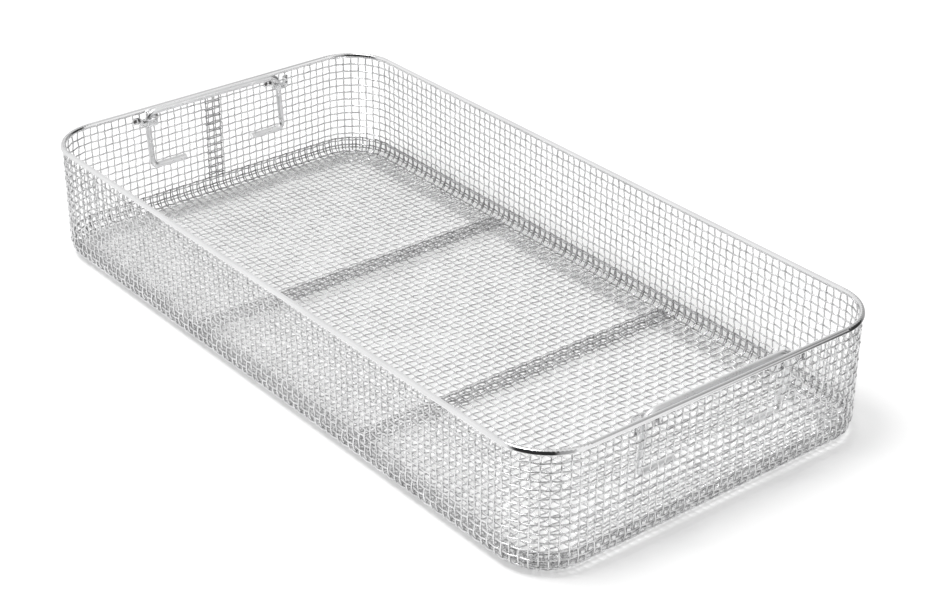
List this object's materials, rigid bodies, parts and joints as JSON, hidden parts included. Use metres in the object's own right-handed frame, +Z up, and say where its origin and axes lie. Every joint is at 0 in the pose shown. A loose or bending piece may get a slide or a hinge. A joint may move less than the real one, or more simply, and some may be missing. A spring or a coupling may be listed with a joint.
{
  "type": "sterilization wire basket",
  "caption": "Shallow woven-wire sterilization basket with rounded corners, a folded rim, doubled mesh seams and a lift-up drop handle at each short end.",
  "frame": {"origin": "centre of the base, on the surface that the basket stands on", "axes": "+X along the long side, +Y along the short side, +Z up"},
  "size_m": [0.485, 0.25, 0.0762],
  "materials": {
    "mesh": "bright electropolished stainless wire",
    "mesh_lap": "bright stainless wire, two layers",
    "rim": "polished stainless sheet",
    "handle_wire": "polished stainless wire",
    "clip": "bright stainless strip"
  },
  "bodies": {
    "basket": {"wall_mesh_front": "mesh", "wall_mesh_back": "mesh", "wall_mesh_left": "mesh", "wall_mesh_right": "mesh", "wall_corner_front_left": "mesh", "wall_corner_front_right": "mesh", "wall_corner_back_left": "mesh", "wall_corner_back_right": "mesh", "wall_seam_lap": "mesh_lap", "base_lap_band": "mesh_lap", "floor_mesh": "mesh", "floor_strip_left": "mesh_lap", "floor_strip_right": "mesh_lap", "rim_profile": "rim", "clip_left_front": "clip", "clip_left_back": "clip", "clip_right_front": "clip", "clip_right_back": "clip"},
    "drop_handle_left": {"handle_left": "handle_wire"},
    "drop_handle_right": {"handle_right": "handle_wire"}
  },
  "joints": [
    {"name": "handle_left_lift", "type": "slide", "parent": "basket", "child": "drop_handle_left", "axis": [0, 0, 1], "range_m": [0, 0.0268]},
    {"name": "handle_right_lift", "type": "slide", "parent": "basket", "child": "drop_handle_right", "axis": [0, 0, 1], "range_m": [0, 0.0268]}
  ]
}
